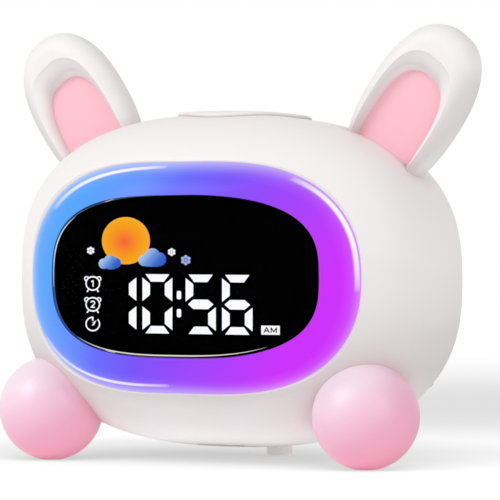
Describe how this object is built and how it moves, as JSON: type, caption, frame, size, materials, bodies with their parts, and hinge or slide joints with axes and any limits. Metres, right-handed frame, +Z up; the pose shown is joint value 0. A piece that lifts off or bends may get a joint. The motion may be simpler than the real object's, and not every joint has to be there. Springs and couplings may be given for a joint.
{
  "type": "alarm clock with night light",
  "caption": "Bedside alarm clock with a night light: an oval head with long ears and ball feet, a lit ring round a dark digital display, a press-down top and rear buttons.",
  "frame": {"origin": "on the table under the middle of the clock's overall box", "axes": "+Z up, the display faces -Y, +X to the right as seen from the front"},
  "size_m": [0.1576, 0.0901, 0.1328],
  "materials": {
    "shell": "white ABS",
    "steel": "zinc plated steel",
    "diffuser": "milky light ring",
    "reflector": "white reflector plastic",
    "board": "green solder mask",
    "led": "LED package",
    "lens": "smoked clear window",
    "digit": "white light guide",
    "mask": "black display mask",
    "ear_pink": "pink inner ear",
    "foot_pink": "pink ball foot",
    "rubber": "white rubber",
    "bracket": "moulded bracket",
    "switch": "tact switch",
    "spring": "spring wire",
    "tape": "foam tape",
    "pouch": "battery pouch",
    "cone": "speaker cone",
    "magnet": "ferrite magnet"
  },
  "bodies": {
    "casing": {"front_shell": "shell", "rear_cover": "shell", "case_screws": "steel", "light_ring": "diffuser", "ring_reflector": "reflector", "front_board": "board", "ring_leds": "led", "front_board_screws": "steel", "display_lens": "lens", "clock_digits": "digit", "display_mask": "mask", "digit_housing": "reflector", "ear_right": "shell", "ear_left": "shell", "ear_pad_right": "ear_pink", "ear_pad_left": "ear_pink", "ear_screws": "steel", "foot_right": "foot_pink", "foot_left": "foot_pink", "foot_screws": "steel", "rear_foot": "rubber", "snooze_bracket": "bracket", "bracket_screws": "steel", "snooze_switch": "switch", "snooze_spring": "spring", "main_board": "board", "button_switches": "switch", "main_board_screws": "steel", "usb_socket": "steel", "battery_tape": "tape", "battery": "pouch", "speaker_frame": "steel", "speaker_cone": "cone", "speaker_magnet": "magnet", "speaker_screws": "steel"},
    "snooze": {"snooze_button": "shell"},
    "mode": {"mode_button": "shell"},
    "alarm": {"alarm_button": "shell"},
    "timer": {"timer_button": "shell"},
    "down": {"down_button": "shell"},
    "light": {"light_button": "shell"},
    "up": {"up_button": "shell"}
  },
  "joints": [
    {"name": "snooze_press", "type": "slide", "parent": "casing", "child": "snooze", "axis": [0, 0, -1], "range_m": [0, 0.0012], "stiffness_N_per_m": 900, "springref_m": -0.0004, "deforming": ["snooze_spring"]},
    {"name": "mode_press", "type": "slide", "parent": "casing", "child": "mode", "axis": [0, -1, 0], "range_m": [0, 0.0006], "stiffness_N_per_m": 1200},
    {"name": "alarm_press", "type": "slide", "parent": "casing", "child": "alarm", "axis": [0, -1, 0], "range_m": [0, 0.0006], "stiffness_N_per_m": 1200},
    {"name": "timer_press", "type": "slide", "parent": "casing", "child": "timer", "axis": [0, -1, 0], "range_m": [0, 0.0006], "stiffness_N_per_m": 1200},
    {"name": "down_press", "type": "slide", "parent": "casing", "child": "down", "axis": [0, -1, 0], "range_m": [0, 0.0006], "stiffness_N_per_m": 1200},
    {"name": "light_press", "type": "slide", "parent": "casing", "child": "light", "axis": [0, -1, 0], "range_m": [0, 0.0006], "stiffness_N_per_m": 1200},
    {"name": "up_press", "type": "slide", "parent": "casing", "child": "up", "axis": [0, -1, 0], "range_m": [0, 0.0006], "stiffness_N_per_m": 1200}
  ]
}
